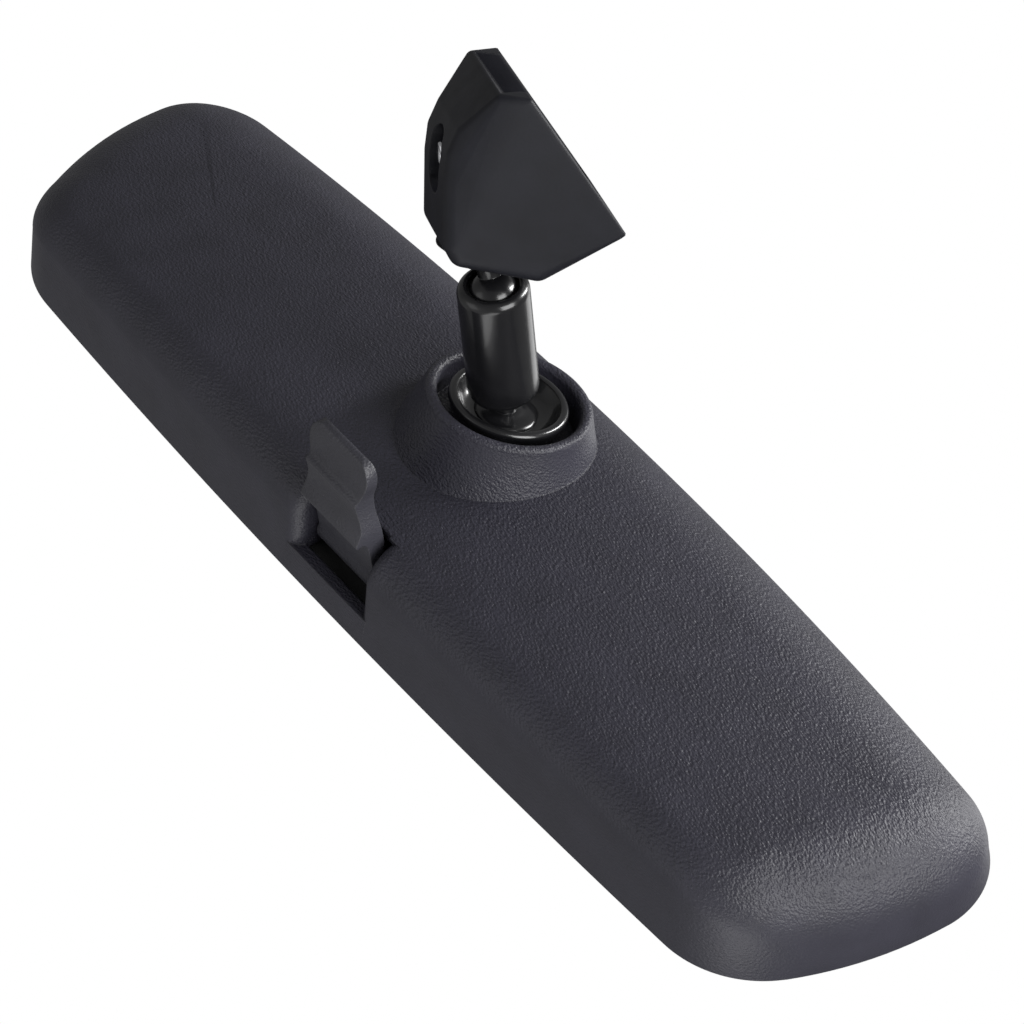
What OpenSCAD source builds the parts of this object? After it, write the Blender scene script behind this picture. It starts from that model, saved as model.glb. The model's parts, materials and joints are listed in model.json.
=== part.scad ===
// Interior rearview mirror: windshield foot, two-ball arm, prismatic glass in a one-piece
// case, and a flip lever that tips the case between its day and night positions.
// Row frame: X across the vehicle, Y forward, Z up, glass facing -Y. Millimetres.
// The origin is the middle of the mouth of the foot's windshield-button channel.

/* [Case] */
// Height of the lower corner centres below the case's reference axis
low_corner_z = 10.5; // [9:0.5:12]
// Half spacing of the lower corner centres
low_corner_x = 97.2; // [90:0.2:100]
// Radius of the lower corners
low_corner_r = 22.2; // [20:0.2:24]
// Height of the upper corner centres above the reference axis
top_corner_z = 11; // [9:0.5:13]
// Half spacing of the upper corner centres
top_corner_x = 106.4; // [100:0.2:108]
// Radius of the upper corners
top_corner_r = 18.6; // [17:0.2:20]
// Half of the arc that the top edge turns through, degrees
top_bow = 6.4; // [4:0.1:8]
// Half of the arc that the bottom edge turns through, degrees
low_bow = 2.8; // [1:0.1:4]
// Half of the arc that each end turns through, degrees
end_bow = 11.5; // [6:0.5:14]
// Depth of the case from rim to back at the reference axis
case_depth = 23.8; // [22:0.1:25]
// Fall of the back per millimetre of height, so the top is thinner
back_fall = 0.1; // [0.05:0.01:0.15]
// Wall thickness of the case
wall = 2.2; // [1.8:0.1:2.6]
// Thickness of the front lip that holds the glass
lip_t = 1.2; // [1:0.1:1.4]
// Width of the front lip beyond the wall
lip_w = 3.2; // [2.8:0.1:3.6]

/* [Collar] */
// Lean of the collar towards the top edge, degrees
collar_lean = 16; // [12:1:18]
// Distance of the collar's rim centre from the case's rim plane
collar_y = 30.4; // [29.5:0.1:31]
// Height of the collar's rim centre above the reference axis
collar_z = 7.9; // [7:0.1:8.5]
// Bore radius of the collar
collar_bore = 13.6; // [13.2:0.1:14]
// Width of the collar's rounded rim
collar_rim = 2.6; // [2.2:0.1:3]

/* [Arm] */
// Distance between the two ball centres
arm_len = 19.8; // [19.6:0.1:24]
// Outside radius of the arm tube
tube_r = 6.7; // [6.6:0.05:6.9]
// Radius of both balls
ball_r = 5; // [4.95:0.01:5.02]
// Radius of both ball necks
neck_r = 2.2; // [1.8:0.1:2.2]
// Upward pitch of the arm seen from the side, degrees
arm_pitch = -2.1; // [-6:0.1:0]
// Sideways yaw of the arm seen from above, degrees
arm_yaw = -5.3; // [-7:0.1:0]

/* [Foot] */
// Width of the foot across the channel
foot_w = 28; // [26:0.5:30]
// Length of the face that meets the windshield
foot_len = 32.4; // [31:0.1:34]
// Width of the button channel at its mouth
channel_w = 20; // [19:0.5:21]
// Depth of the button channel
channel_d = 3.8; // [3.6:0.1:3.9]
// Turn of the foot relative to the case about X, Y and Z, degrees
foot_turn = [-19.4, -21.9, -23.0];

/* [Flip lever] */
// Tilt of the case between day and night, degrees
night_tilt = 4.5; // [4:0.1:4.6]
// Travel of the flip lever, degrees
lever_travel = 36; // [34:1:36]
// Width of the lever's finger tab
tab_w = 17.4; // [16:0.1:18]
// Half width of the notch around the tab
notch_half = 9.9; // [9.6:0.1:11]

/* [Hidden] */
$fn = 64;
eps = 0.01;

// Clearances between pieces that turn on each other
run_gap = 0.05;

// Foot: the ball sits below and behind the channel, on a stud that slopes down
foot_ball = [0, -17.7, -26.1];
stud_slope = 23;

// Places of the two balls and of the case, worked out from the foot at the origin
function rot_x(a, p) = [p[0], p[1] * cos(a) - p[2] * sin(a), p[1] * sin(a) + p[2] * cos(a)];
function rot_y(a, p) = [p[0] * cos(a) + p[2] * sin(a), p[1], -p[0] * sin(a) + p[2] * cos(a)];
function rot_z(a, p) = [p[0] * cos(a) - p[1] * sin(a), p[0] * sin(a) + p[1] * cos(a), p[2]];
function from_foot(p) = rot_z(foot_turn[2], rot_y(foot_turn[1], rot_x(foot_turn[0], p)));
ball_up = from_foot(foot_ball);
arm_dir = rot_z(arm_yaw, rot_x(arm_pitch, [0, 1, 0]));
ball_low = ball_up - arm_len * arm_dir;
// Lower ball in the case's own coordinates
ball_in_head = [0, 36.6, 6.1];
head_at = ball_low - ball_in_head;

module in_foot() {
    rotate(foot_turn) children();
}

// Arm coordinates: Z runs from the lower ball at zero to the upper ball
module in_arm() {
    translate(ball_low) rotate([arm_pitch, 0, arm_yaw]) rotate([-90, 0, 0]) children();
}

module in_head() {
    translate(head_at) children();
}

// Collar coordinates: origin at the rim's centre, Z out along the collar's axis
module in_collar() {
    in_head() translate([0, collar_y, collar_z]) rotate([collar_lean - 90, 0, 0]) children();
}

// A cylinder along Y from one distance to another, in case coordinates
module rod_y(r, y0, y1, x = 0, z = 0) {
    translate([x, y0, z]) rotate([-90, 0, 0]) cylinder(r = r, h = y1 - y0);
}

// A cylinder along X, centred on the case's middle plane or at x
module rod_x(r, len, y, z, x = 0) {
    translate([x, y, z]) rotate([0, 90, 0]) cylinder(r = r, h = len, center = true);
}

module block(x0, x1, y0, y1, z0, z1) {
    translate([x0, y0, z0]) cube([x1 - x0, y1 - y0, z1 - z0]);
}

// ---------------------------------------------------------------- case outline

// The outline is a chain of tangent arcs. Each point is [x, z, angle of its outward normal].
end_normal = atan2(top_corner_z + low_corner_z, top_corner_x - low_corner_x)
    - acos((low_corner_r - top_corner_r)
        / norm([top_corner_x - low_corner_x, top_corner_z + low_corner_z]));

function arc_points(c, r, a0, a1, n) =
    [for (i = [0:n - 1]) let (a = a0 + (a1 - a0) * i / n)
        [c[0] + r * cos(a), c[1] + r * sin(a), a]];

// An arc that joins two points whose normals are a0 and a1
function joining_arc(p, q, a0, a1, n) =
    let (r = norm(q - p) / (2 * sin((a1 - a0) / 2)),
        mid_a = (a0 + a1) / 2,
        c = (p + q) / 2 - r * cos((a1 - a0) / 2) * [cos(mid_a), sin(mid_a)])
    arc_points(c, r, a0, a1, n);

function on_arc(c, r, a) = c + r * [cos(a), sin(a)];

low_c = [low_corner_x, -low_corner_z];
top_c = [top_corner_x, top_corner_z];
right_side = concat(
    arc_points(low_c, low_corner_r, -90 + low_bow, end_normal - end_bow, 8),
    joining_arc(on_arc(low_c, low_corner_r, end_normal - end_bow),
        on_arc(top_c, top_corner_r, end_normal + end_bow),
        end_normal - end_bow, end_normal + end_bow, 4),
    arc_points(top_c, top_corner_r, end_normal + end_bow, 90 - top_bow, 10));
top_right = on_arc(top_c, top_corner_r, 90 - top_bow);
low_right = on_arc(low_c, low_corner_r, -90 + low_bow);
top_edge = joining_arc(top_right, [-top_right[0], top_right[1]], 90 - top_bow, 90 + top_bow, 20);
low_edge = joining_arc([-low_right[0], low_right[1]], low_right,
    -90 - low_bow, -90 + low_bow, 16);
left_side = [for (i = [len(right_side) - 1:-1:0])
    [-right_side[i][0], right_side[i][1], 180 - right_side[i][2]]];
left_start = [-top_right[0], top_right[1], 90 + top_bow];
outline = concat(right_side, top_edge, [left_start],
    [for (i = [0:len(left_side) - 2]) left_side[i]], low_edge);

function inset_point(p, d) = [p[0] - d * cos(p[2]), p[1] - d * sin(p[2])];

module outline_plate(d, y0, y1) {
    translate([0, y1, 0]) rotate([90, 0, 0]) linear_extrude(y1 - y0)
        polygon([for (p = outline) inset_point(p, d)]);
}

// ---------------------------------------------------------------- case surface

// Distance of the crowned back from the rim plane
function back_y(x, z) = case_depth - back_fall * z - 0.0045 * z * z - 0.0003 * x * x;
// Width of the rounded shoulder: narrow below, wide above
function low_share(a) = pow(max(0, -sin(a)), 2);
function top_share(a) = pow(max(0, sin(a)), 2);
function shoulder_w(a) = 16.7 - 9 * low_share(a) + 1.2 * top_share(a);
// Share of the depth that is plain side wall
function wall_share(a) = 0.2 + 0.45 * low_share(a);
// Inset of the side wall's back edge, most in the middle of the top edge
function wall_draft(a, x) = 0.6 + 0.7 * low_share(a)
    + top_share(a) * (1 - pow(x / 110, 2) * (abs(x) < 110 ? 1 : 0) - (abs(x) < 110 ? 0 : 1));

// Ring of the case's skin: phi runs from the wall's back edge at 0 to the crown at 90,
// where the shoulder meets the crown without a crease
function shoulder_ring(phi, skin) =
    [for (p = outline)
        let (d0 = skin + wall_draft(p[2], p[0]),
            w = shoulder_w(p[2]) - skin * 0.4,
            q = inset_point(p, d0 + w * (1 - cos(phi))),
            e = inset_point(p, d0 + w),
            y0 = back_y(e[0], e[1]) * wall_share(p[2]))
        [q[0], y0 + (back_y(q[0], q[1]) - skin - y0) * sin(phi), q[1]]];

function flat_ring(d, y) = [for (p = outline) let (q = inset_point(p, d)) [q[0], y, q[1]]];

// Rings of the crowned back, drawn in towards its middle
back_mid = [0, 3];
function crown_ring(s, skin) =
    [for (r = shoulder_ring(90, skin))
        let (x = back_mid[0] + (r[0] - back_mid[0]) * s,
            z = back_mid[1] + (r[2] - back_mid[1]) * s)
        [x, back_y(x, z) - skin, z]];

// Closed body bounded by a stack of rings and capped with a fan at each end
module ring_body(rings, first, last) {
    n = len(rings[0]);
    m = len(rings);
    points = concat([for (r = rings) for (p = r) p], [first, last]);
    sides = [for (k = [0:m - 2]) for (i = [0:n - 1])
        let (a = k * n + i, b = k * n + (i + 1) % n, c = a + n, d = b + n)
        each [[a, b, c], [b, d, c]]];
    caps = [for (i = [0:n - 1])
        each [[m * n, (i + 1) % n, i], [m * n + 1, (m - 1) * n + i, (m - 1) * n + (i + 1) % n]]];
    polyhedron(points, concat(sides, caps), convexity = 4);
}

module case_block() {
    rings = concat([flat_ring(0, 0)],
        [for (phi = [0:10:90]) shoulder_ring(phi, 0)],
        [for (s = [0.85, 0.65, 0.4, 0.18]) crown_ring(s, 0)]);
    ring_body(rings, [0, 0, 0], [back_mid[0], back_y(0, back_mid[1]), back_mid[1]]);
}

module case_hollow() {
    rings = concat([flat_ring(glass_inset - 0.2, lip_t), flat_ring(glass_inset - 0.1, 7.2)],
        [for (phi = [30:15:90]) shoulder_ring(phi, wall)],
        [for (s = [0.7, 0.35]) crown_ring(s, wall)]);
    ring_body(rings, [0, lip_t, 0],
        [back_mid[0], back_y(0, back_mid[1]) - wall, back_mid[1]]);
}

// ---------------------------------------------------------------- case layout

// Pin that the case tilts on, near the top of the pivot plate
tilt_y = 10.8;
tilt_z = 20;
tilt_pin_r = 1.5;
// Pin of the flip lever, behind the notch in the bottom edge
lever_y = 10.2;
lever_z = -26.6;
lever_pin_r = 1.25;
// Crank that turns the lever's travel into the case's tilt
crank_r = 5.3;
crank_y = lever_y - crank_r * sin(lever_travel / 2);
crank_z = lever_z + crank_r * cos(lever_travel / 2);
crank_pin_r = 1;
// Notch: its floor ledge and its inner end
ledge_y = 7.5;
notch_top_z = -26.4;
rib_t = 2;
rib_x = notch_half + rib_t;
lug_x0 = 17;
lug_t = 3.5;
plate_y = 8.8;
plate_t = 1.6;
plate_half = 15.6;
hole_in_collar = 9.5;
collar_floor = 6.4;

module case_shell() {
    difference() {
        case_block();
        difference() {
            case_hollow();
            // side ribs of the notch, which carry the lever's pin
            for (s = [-1, 1])
                block(s * (notch_half + rib_t / 2) - rib_t / 2,
                    s * (notch_half + rib_t / 2) + rib_t / 2, 6.2, 40, -40, -20.5);
            // lugs of the tilt pin
            for (s = [-1, 1])
                block(s * (lug_x0 + lug_t / 2) - lug_t / 2, s * (lug_x0 + lug_t / 2) + lug_t / 2,
                    8, 40, tilt_z - 3.6, tilt_z + 3.6);
            // ribs that back the pad behind the glass
            difference() {
                for (x = [-98, -72, -46, 46, 72, 98])
                    block(x - 0.8, x + 0.8, 3, 40, -40, 40);
                wedge_layer(0, coat_t + pad_t + 0.02, true);
            }
            for (s = [-1, 1])
                block(s * 61 - 37, s * 61 + 37, 14, 40, -17.8, -16.2);
        }
        outline_plate(wall + lip_w, -1, lip_t + eps);
        // notch for the finger tab
        block(-notch_half, notch_half, ledge_y, 40, -40, notch_top_z);
    }
}

module mirror_case() {
    color([0.2, 0.2, 0.22]) difference() {
        union() {
            in_head() difference() {
                resize([0, 0, 0]) case_shell();
                translate([0, collar_y, collar_z]) rotate([collar_lean - 90, 0, 0])
                    translate([0, 0, -40]) cylinder(r = collar_bore - 1, h = 60);
            }
            in_collar() rotate_extrude() collar_profile();
        }
        in_head() rod_x(tilt_pin_r, 2 * (lug_x0 + lug_t) + 1, tilt_y, tilt_z);
        in_head() rod_x(lever_pin_r, 2 * rib_x + 1, lever_y, lever_z);
    }
}

// Tapered ring with a rounded rim, a cup floor and the hole for the stud
module collar_profile() {
    rim_r = collar_rim / 2;
    difference() {
        union() {
            translate([collar_bore + rim_r, -rim_r]) circle(r = rim_r);
            polygon([[collar_bore, -rim_r], [collar_bore + collar_rim, -rim_r],
                [collar_bore + collar_rim + 4, -12.5], [collar_bore, -12.5]]);
            polygon([[hole_in_collar, -9.6], [hole_in_collar, -collar_floor],
                [collar_bore + eps, -collar_floor], [collar_bore + eps, -9.6]]);
        }
        translate([0, -20]) square([hole_in_collar, 30]);
    }
}

// ---------------------------------------------------------------- glass

glass_inset = wall + 1.2;
glass_low_t = 2.6;
glass_top_t = 4.8;
coat_t = 0.25;
pad_t = 0.7;
glass_low_z = -33;
glass_top_z = 33;
// Distance from the glass's front face to its sloping back at a height
function glass_back(z) = lip_t + glass_low_t
    + (glass_top_t - glass_low_t) * (z - glass_low_z) / (glass_top_z - glass_low_z);

// Layer between the front plane, or the glass's back plus y0, and the glass's back plus y1
module wedge_layer(y0, y1, from_front = false) {
    z0 = -40;
    z1 = 40;
    a0 = from_front ? lip_t : glass_back(z0) + y0;
    a1 = from_front ? lip_t : glass_back(z1) + y0;
    rotate([90, 0, 90]) linear_extrude(300, center = true)
        polygon([[a0, z0], [glass_back(z0) + y1, z0], [glass_back(z1) + y1, z1], [a1, z1]]);
}

module mirror_glass() {
    color([0.75, 0.8, 0.82, 0.5]) in_head() intersection() {
        outline_plate(glass_inset, 0, 12);
        wedge_layer(0, 0, true);
    }
}

module reflective_coating() {
    color([0.85, 0.87, 0.88]) in_head() intersection() {
        outline_plate(glass_inset + 0.6, 0, 12);
        wedge_layer(0, coat_t);
    }
}

module glass_backing_pad() {
    color([0.12, 0.12, 0.12]) in_head() intersection() {
        outline_plate(glass_inset + 1.2, 0, 12);
        wedge_layer(coat_t, coat_t + pad_t);
    }
}

// ---------------------------------------------------------------- tilt mechanism

module tilt_pivot_pin() {
    color([0.6, 0.6, 0.62]) in_head() difference() {
        rod_x(tilt_pin_r, 2 * (lug_x0 + lug_t) + 5, tilt_y, tilt_z);
        for (s = [-1, 1]) difference() {
            rod_x(tilt_pin_r + 1, 0.7, tilt_y, tilt_z, s * (lug_x0 + lug_t + 1));
            rod_x(1.05, 2, tilt_y, tilt_z, s * (lug_x0 + lug_t + 1));
        }
    }
}

// Two spring clips in the grooves near the pin's ends
module pivot_pin_clips() {
    color([0.35, 0.35, 0.37]) in_head() for (s = [-1, 1])
        translate([s * (lug_x0 + lug_t + 1), tilt_y, tilt_z]) rotate([0, 90, 0])
            difference() {
                cylinder(r = 2.9, h = 0.5, center = true);
                cylinder(r = 1.05, h = 2, center = true);
                translate([-4, -0.7, -1]) cube([4, 1.4, 2]);
            }
}

module lever_pin() {
    color([0.6, 0.6, 0.62]) in_head() rod_x(lever_pin_r, 2 * rib_x, lever_y, lever_z);
}

// Stamped plate that the ball stud is screwed to, with ears on the tilt pin above and a
// slotted lug for the lever's crank pin below
module pivot_plate() {
    ear_t = 1.6;
    ear_x = plate_half - ear_t / 2;
    color([0.55, 0.55, 0.5]) in_head() difference() {
        union() {
            block(-plate_half, plate_half, plate_y, plate_y + plate_t, -12, tilt_z - 2.5);
            for (s = [-1, 1]) {
                block(s * ear_x - ear_t / 2, s * ear_x + ear_t / 2,
                    plate_y, tilt_y, tilt_z - 8, tilt_z);
                rod_x(3.3, ear_t, tilt_y, tilt_z, s * ear_x);
            }
            block(-7, 7, plate_y, plate_y + plate_t, -18, -11);
            block(-2.4, 2.4, crank_y - 2.6, crank_y + 3.4, crank_z - 1.2, -14);
        }
        rod_x(tilt_pin_r + run_gap, 2 * plate_half + 2, tilt_y, tilt_z);
        rod_y(2.05, plate_y - 1, plate_y + 3, 0, ball_in_head[2]);
        for (s = [-1, 1]) {
            rod_y(rivet_r, plate_y - 1, plate_y + 3, s * rivet_x, rivet_z);
            rod_y(2.6, plate_y - 1, plate_y + 3, s * 10.4, 0);
        }
        block(-3, 3, crank_y - crank_pin_r - 0.15, crank_y + crank_pin_r + 0.15,
            crank_z - 4, crank_z + 1.6);
    }
}

stud_foot_y = plate_y + plate_t;
// Dish coordinates: origin at the middle of the dish's rim plane, Z out of the case
dish_rise = -0.1;
module in_dish() {
    in_collar() translate([0, 0, dish_rise]) children();
}
dish_r = 11.5;
hub_r = 6;

// Lower ball, its neck and hub, the tilted seat of the dish and the straight shank
module head_ball_stud() {
    axis = [0, cos(collar_lean), sin(collar_lean)];
    rim_mid = [0, collar_y, collar_z] + dish_rise * axis;
    root = rim_mid - 4 * axis;
    neck = root - ball_in_head;
    color([0.08, 0.08, 0.09]) difference() {
        union() {
            in_head() translate(ball_in_head) sphere(r = ball_r);
            in_head() translate(ball_in_head)
                rotate([atan2(-neck[1], neck[2]), 0, 0])
                    cylinder(r = neck_r, h = norm(neck));
            in_dish() rotate_extrude() polygon([[0, -6], [hub_r, -6], [hub_r, -3.1],
                [5.3, -2.7], [2.9, -2.3], [0, -2.3]]);
            in_dish() translate([0, 0, -5.4]) cylinder(r = 7.8, h = 1);
            in_head() rod_y(5, stud_foot_y, collar_y - 3.5, 0, ball_in_head[2]);
        }
        in_head() rod_y(2, stud_foot_y - 1, stud_foot_y + 9, 0, ball_in_head[2]);
    }
}

// Glossy dished ring around the hub
module stud_dish() {
    rim_c = [dish_r - 1, -1];
    color([0.05, 0.05, 0.06]) in_dish() rotate_extrude() polygon(concat(
        [[hub_r, -4.4], [hub_r, -3.5], [7.2, -3.5], [8.6, -2.6], [9.4, -1.2]],
        [for (a = [160:-14:-22]) rim_c + [cos(a), sin(a)]], [[10.2, -4.4]]));
}

module stud_washer() {
    color([0.5, 0.5, 0.52]) in_head() difference() {
        rod_y(4.4, plate_y - 0.6, plate_y, 0, ball_in_head[2]);
        rod_y(2.1, plate_y - 1, plate_y + 1, 0, ball_in_head[2]);
    }
}

module stud_screw() {
    head_h = 1;
    color([0.62, 0.62, 0.6]) in_head() difference() {
        union() {
            rod_y(3.8, plate_y - 0.6 - head_h, plate_y - 0.6, 0, ball_in_head[2]);
            rod_y(2, plate_y - 0.6, stud_foot_y + 8, 0, ball_in_head[2]);
        }
        for (a = [0, 90])
            translate([0, plate_y - 1.6, ball_in_head[2]]) rotate([0, a, 0])
                cube([0.8, 1.2, 3.6], center = true);
    }
}

// Leaf with two fingers that bear on the flats of the lever's crank arms
rivet_r = 1;
rivet_x = 7;
rivet_z = -6.5;
finger_x = 4.2;
finger_w = 2.4;
leaf_t = 0.4;
module toggle_spring() {
    color([0.5, 0.5, 0.55]) in_head() difference() {
        union() {
            block(-9.4, 9.4, stud_foot_y, stud_foot_y + leaf_t, -9, -4);
            for (s = [-1, 1])
                block(s * finger_x - finger_w / 2, s * finger_x + finger_w / 2,
                    stud_foot_y, stud_foot_y + leaf_t, -22.5, -8.5);
        }
        for (s = [-1, 1])
            rod_y(rivet_r, stud_foot_y - 1, stud_foot_y + 2, s * rivet_x, rivet_z);
    }
}

module toggle_spring_rivets() {
    color([0.6, 0.6, 0.6]) in_head() for (s = [-1, 1]) {
        rod_y(rivet_r, plate_y - 0.3, stud_foot_y + leaf_t + 0.3, s * rivet_x, rivet_z);
        rod_y(1.9, stud_foot_y + leaf_t, stud_foot_y + leaf_t + 0.8, s * rivet_x, rivet_z);
        rod_y(1.9, plate_y - 0.7, plate_y, s * rivet_x, rivet_z);
    }
}

// ---------------------------------------------------------------- flip lever

lever_hub_r = 3.2;
lever_hub_half = notch_half - 0.4;
tab_end = 42.3;
// Flats of the crank arms, one for each position, just clear of the spring's fingers
flat_turn = lever_travel + night_tilt;
flat_d = (stud_foot_y - crank_y - 0.04) * cos(flat_turn / 2);

// Side view of the lever: hub neck, forward lip, waist and paddle. Points are [y, z].
module tab_profile() {
    union() {
        polygon([[lever_y - 1, -25.2], [14, -27.1], [22, -27.2], [24, -27.6], [30, -28.4],
            [36, -28.6], [41, -28.2], [tab_end, -29.2], [41.5, -30.4], [38, -30.9],
            [34.5, -31.6], [33.3, -32.9], [30, -32.2], [27, -32.1], [25, -32.8], [23.6, -33.5],
            [22.9, -33.1], [23.2, -32], [22, -30.9], [18, -30.2], [13, -29.6],
            [lever_y - 1, -29.4]]);
        translate([lever_y, lever_z]) circle(r = lever_hub_r);
        translate([tab_end - 1.05, -29.25]) circle(r = 1.05);
        translate([23.7, -32.7]) circle(r = 0.8);
    }
}

// One arm from the hub to the crank pin, with its two flats
module crank_arm(t) {
    translate([0, lever_y, lever_z]) rotate([lever_travel / 2, 0, 0])
        translate([-t / 2, -1.2, 0]) cube([t, 2.4, crank_r]);
    difference() {
        rod_x(2, t, crank_y, crank_z);
        for (a = [0, flat_turn])
            translate([-t, crank_y, crank_z]) rotate([a, 0, 0])
                translate([0, flat_d, -1.1]) cube([2 * t, 3, 4]);
    }
}

module flip_lever() {
    arm_x0 = 3;
    arm_t = 2.4;
    corner = 4;
    color([0.22, 0.22, 0.24]) in_head() difference() {
        union() {
            intersection() {
                rotate([90, 0, 90]) linear_extrude(tab_w, center = true) tab_profile();
                union() {
                    block(-tab_w / 2, tab_w / 2, 0, tab_end - corner, -40, -20);
                    block(-tab_w / 2 + corner, tab_w / 2 - corner, 0, 45, -40, -20);
                    for (s = [-1, 1])
                        translate([s * (tab_w / 2 - corner), tab_end - corner, -40])
                            cylinder(r = corner, h = 20);
                }
            }
            rod_x(lever_hub_r, 2 * lever_hub_half, lever_y, lever_z);
            for (s = [-1, 1])
                translate([s * (arm_x0 + arm_t / 2), 0, 0]) crank_arm(arm_t);
        }
        rod_x(lever_pin_r + run_gap, 2 * notch_half + 2, lever_y, lever_z);
        rod_x(crank_pin_r, 20, crank_y, crank_z);
    }
}

module toggle_crank_pin() {
    color([0.6, 0.6, 0.62]) in_head() rod_x(crank_pin_r, 10.8, crank_y, crank_z);
}

// ---------------------------------------------------------------- arm

liner_in = ball_r + 0.04;
liner_out = ball_r + 0.56;
lip_sphere = ball_r + 0.62;
bore_r = tube_r - 0.92;
end_over = 3.4;
end_round = 2;
seat_top = 2.2;
seat_base = 6.4;
mouth_z = 2.9;
liner_mouth = 2.5;
washer_t = 0.6;

// Drawn with the ball at the origin and the tube's mouth towards +Z
module tube_end_cut() {
    circle(r = lip_sphere);
    polygon([[0, mouth_z - 0.4], [4.78, mouth_z], [5.3, end_over + eps], [5.5, end_over + 1],
        [0, end_over + 1]]);
}

module right_half(z0, z1) {
    intersection() {
        children();
        translate([0, z0]) square([30, z1 - z0]);
    }
}

module arm_tube() {
    z0 = -end_over;
    z1 = arm_len + end_over;
    color([0.04, 0.04, 0.05]) in_arm() rotate_extrude() right_half(z0 - 2, z1 + 2)
        difference() {
            union() {
                translate([0, z0 + end_round]) square([tube_r, z1 - z0 - 2 * end_round]);
                translate([0, z0]) square([tube_r - end_round, z1 - z0]);
                for (z = [z0 + end_round, z1 - end_round])
                    translate([tube_r - end_round, z]) circle(r = end_round);
            }
            translate([0, -0.6]) square([bore_r, arm_len + 1.2]);
            mirror([0, 1]) tube_end_cut();
            translate([0, arm_len]) tube_end_cut();
        }
}

// Thin plastic shell around a ball, open where the neck leaves
module ball_liner() {
    rotate_extrude() right_half(-10, liner_mouth) difference() {
        circle(r = liner_out);
        circle(r = liner_in);
        translate([0, -10]) square([1.6, 8]);
    }
}

module upper_ball_liner() {
    color([0.85, 0.85, 0.8]) in_arm() translate([0, 0, arm_len]) ball_liner();
}

module lower_ball_liner() {
    color([0.85, 0.85, 0.8]) in_arm() rotate([180, 0, 0]) ball_liner();
}

module ball_seat() {
    rotate_extrude() difference() {
        translate([1.6, -seat_base]) square([bore_r - run_gap - 1.6, seat_base - seat_top]);
        circle(r = lip_sphere);
    }
}

module upper_ball_seat() {
    color([0.9, 0.9, 0.88]) in_arm() translate([0, 0, arm_len]) ball_seat();
}

module lower_ball_seat() {
    color([0.9, 0.9, 0.88]) in_arm() rotate([180, 0, 0]) ball_seat();
}

module spring_washer() {
    color([0.6, 0.6, 0.62]) in_arm() translate([0, 0, seat_base]) difference() {
        cylinder(r = bore_r - 0.15, h = washer_t);
        translate([0, 0, -1]) cylinder(r = 2.4, h = 3);
    }
}

// Compression spring that keeps both balls seated
spring_turns = 3;
spring_wire_r = 0.6;
spring_r = 4.3;
module arm_spring() {
    steps = 18;
    sides = 8;
    z0 = seat_base + washer_t + spring_wire_r;
    z1 = arm_len - seat_base - spring_wire_r;
    n = spring_turns * steps;
    rings = [for (i = [0:n])
        let (a = 360 * i / steps, z = z0 + (z1 - z0) * i / n)
        [for (j = [0:sides - 1])
            let (b = 360 * j / sides, r = spring_r + spring_wire_r * cos(b))
            [r * cos(a), r * sin(a), z + spring_wire_r * sin(b)]]];
    a_end = [spring_r, 0, z0];
    b_end = [spring_r, 0, z1];
    color([0.5, 0.5, 0.52]) in_arm() ring_body(rings, a_end, b_end);
}

// ---------------------------------------------------------------- foot

// Rounded edges across the foot: y, z, half width and edge radius
under_edges = [[17.8, -4.6, 12.8, 1.5], [14.1, -12.4, 10.6, 3], [12, -15.7, 10.6, 3],
    [8.7, -18.5, 10.6, 3], [-0.8, -24.9, 10.6, 3], [-3.2, -25.2, 10.6, 3], [-13, -16, 12, 3]];
channel_end = -11;

module wedge_body() {
    hull() {
        translate([-foot_w / 2, -foot_len / 2, -1.2]) cube([foot_w, foot_len, 1.2]);
        for (e = under_edges, s = [-1, 1])
            translate([s * (e[2] - e[3]), e[0], e[1]]) sphere(r = e[3], $fn = 24);
    }
}

// Dovetail channel that slides over the button on the windshield
module button_channel() {
    floor_w = channel_w + 2;
    translate([0, 40, 0]) rotate([90, 0, 0]) linear_extrude(40 - channel_end)
        polygon([[-channel_w / 2, eps], [-channel_w / 2, -0.8], [-floor_w / 2, -channel_d],
            [floor_w / 2, -channel_d], [channel_w / 2, -0.8], [channel_w / 2, eps]]);
}

// Length of the ball stud's shank in the foot
stud_seat = 8.5;
// Oval access hole: its centre on the underside, its slope and its size
hole_y = 11.4;
hole_z = -20.2;
hole_turn = 42;
hole_r = 4.2;
hole_half = 2.1;
hole_depth = 18;

// Along the stud: from the ball towards the foot, with Z positive into the foot
module on_stud() {
    in_foot() translate(foot_ball) rotate([stud_slope - 90, 0, 0]) children();
}

module mount_foot() {
    color([0.1, 0.1, 0.11]) difference() {
        union() {
            in_foot() wedge_body();
            on_stud() translate([0, 0, 7.4]) cylinder(r1 = 4.2, r2 = 8.4, h = 5.4);
        }
        in_foot() button_channel();
        // pocket for the retaining spring, open to the channel's floor
        in_foot() translate([-8, -3, -7.4]) cube([16, 15.5, 7.4 - channel_d + eps]);
        // oval access hole through the underside
        in_foot() translate([0, hole_y, hole_z]) rotate([hole_turn, 0, 0]) {
            for (s = [-1, 1])
                translate([0, s * hole_half, -8]) cylinder(r = hole_r, h = 8 + hole_depth);
            translate([-hole_r, -hole_half, -8])
                cube([2 * hole_r, 2 * hole_half, 8 + hole_depth]);
        }
        // seat of the ball stud's shank
        on_stud() translate([0, 0, 4]) cylinder(r = 2.6, h = stud_seat + 3);
    }
}

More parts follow.
